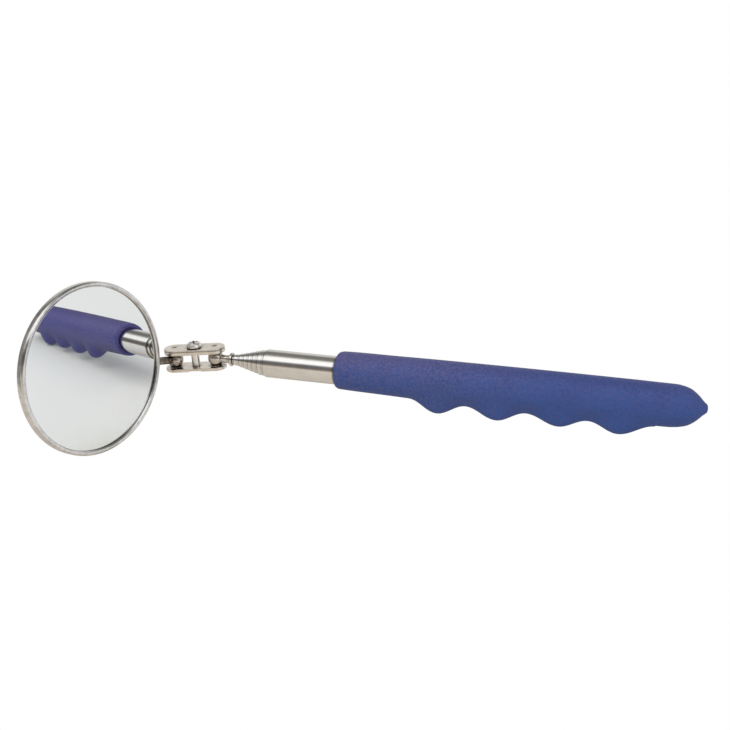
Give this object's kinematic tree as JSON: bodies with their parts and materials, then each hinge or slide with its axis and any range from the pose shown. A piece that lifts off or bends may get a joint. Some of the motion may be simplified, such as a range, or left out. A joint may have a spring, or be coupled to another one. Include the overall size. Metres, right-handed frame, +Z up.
{
  "type": "telescoping inspection mirror",
  "caption": "Round inspection mirror on a clamped double ball link, at the end of nested telescopic tubes with a ribbed blue vinyl hand grip.",
  "frame": {"origin": "on the axis of the telescopic tubes, where the parallel wall of the outer tube starts behind its necked mouth", "axes": "+X along the tubes towards the rear end of the grip, +Z up so that the finger bumps face down, +Y completes the right-handed set"},
  "size_m": [0.2075, 0.0762, 0.0584],
  "materials": {
    "grip_vinyl": "soft blue vinyl with a fine grain",
    "outer_tube_nickel": "polished nickel plate",
    "plug_steel": "plain",
    "inner_tube_nickel": "polished nickel plate",
    "bush_brass": "spring brass",
    "stem_nickel": "turned, nickel plated",
    "ball_steel": "polished",
    "plate_nickel": "satin nickel plate",
    "screw_steel": "nickel plated",
    "mirror_stem_steel": "brownish plated wire",
    "strap_steel": "pressed sheet",
    "back_steel": "pressed sheet",
    "pad_fibre": "dark fibre sheet",
    "silvered_glass": "flat silvered mirror",
    "bezel_steel": "satin pressed ring"
  },
  "bodies": {
    "handle": {"vinyl_grip": "grip_vinyl", "outer_tube": "outer_tube_nickel", "end_plug": "plug_steel"},
    "tube_2_body": {"tube_2": "inner_tube_nickel", "bush_2": "bush_brass"},
    "tube_3_body": {"tube_3": "inner_tube_nickel", "bush_3": "bush_brass"},
    "tube_4_body": {"tube_4": "inner_tube_nickel", "bush_4": "bush_brass"},
    "tube_5_body": {"tube_5": "inner_tube_nickel", "bush_5": "bush_brass"},
    "tube_6_body": {"tube_6": "inner_tube_nickel", "bush_6": "bush_brass"},
    "tube_7_body": {"tube_7": "inner_tube_nickel", "bush_7": "bush_brass"},
    "rod_tip": {"rod_stem": "stem_nickel"},
    "rod_ball_body": {"rod_ball": "ball_steel"},
    "link": {"upper_plate": "plate_nickel", "lower_plate": "plate_nickel", "clamp_screw": "screw_steel"},
    "mirror_ball_body": {"mirror_ball": "ball_steel"},
    "mirror_stem_body": {"mirror_stem": "mirror_stem_steel"},
    "mirror_head": {"stem_strap": "strap_steel", "back_plate": "back_steel", "cushion_pad": "pad_fibre", "mirror_glass": "silvered_glass", "bezel_ring": "bezel_steel"}
  },
  "joints": [
    {"name": "tube_2_slide", "type": "slide", "parent": "handle", "child": "tube_2_body", "axis": [-1, 0, 0], "range_m": [0, 0.118]},
    {"name": "tube_3_slide", "type": "slide", "parent": "tube_2_body", "child": "tube_3_body", "axis": [-1, 0, 0], "range_m": [0, 0.118]},
    {"name": "tube_4_slide", "type": "slide", "parent": "tube_3_body", "child": "tube_4_body", "axis": [-1, 0, 0], "range_m": [0, 0.118]},
    {"name": "tube_5_slide", "type": "slide", "parent": "tube_4_body", "child": "tube_5_body", "axis": [-1, 0, 0], "range_m": [0, 0.118]},
    {"name": "tube_6_slide", "type": "slide", "parent": "tube_5_body", "child": "tube_6_body", "axis": [-1, 0, 0], "range_m": [0, 0.118]},
    {"name": "tube_7_slide", "type": "slide", "parent": "tube_6_body", "child": "tube_7_body", "axis": [-1, 0, 0], "range_m": [0, 0.118]},
    {"name": "rod_spin", "type": "hinge", "parent": "tube_7_body", "child": "rod_tip", "pos_m": [-0.0149, 0, 0], "axis": [-1, 0, 0], "continuous": true},
    {"name": "rod_ball_tilt", "type": "hinge", "parent": "rod_tip", "child": "rod_ball_body", "pos_m": [-0.0219, 0, 0], "axis": [0, 0.9184, 0.3955], "range_deg": [-12, 18]},
    {"name": "link_swing", "type": "hinge", "parent": "rod_ball_body", "child": "link", "pos_m": [-0.0219, 0, 0], "axis": [-0.0523, -0.395, 0.9172], "range_deg": [-124.5, 95.5]},
    {"name": "mirror_swing", "type": "hinge", "parent": "link", "child": "mirror_ball_body", "pos_m": [-0.03611, -0.00309, -0.00214], "axis": [0.0523, 0.395, -0.9172], "range_deg": [-54.1, 165.9]},
    {"name": "mirror_ball_tilt", "type": "hinge", "parent": "mirror_ball_body", "child": "mirror_stem_body", "pos_m": [-0.03611, -0.00309, -0.00214], "axis": [-0.9408, 0.3276, 0.0874], "range_deg": [-30, 0.4]},
    {"name": "mirror_spin", "type": "hinge", "parent": "mirror_stem_body", "child": "mirror_head", "pos_m": [-0.04353, -0.02356, -0.00525], "axis": [-0.3372, -0.9307, -0.1416], "continuous": true}
  ]
}
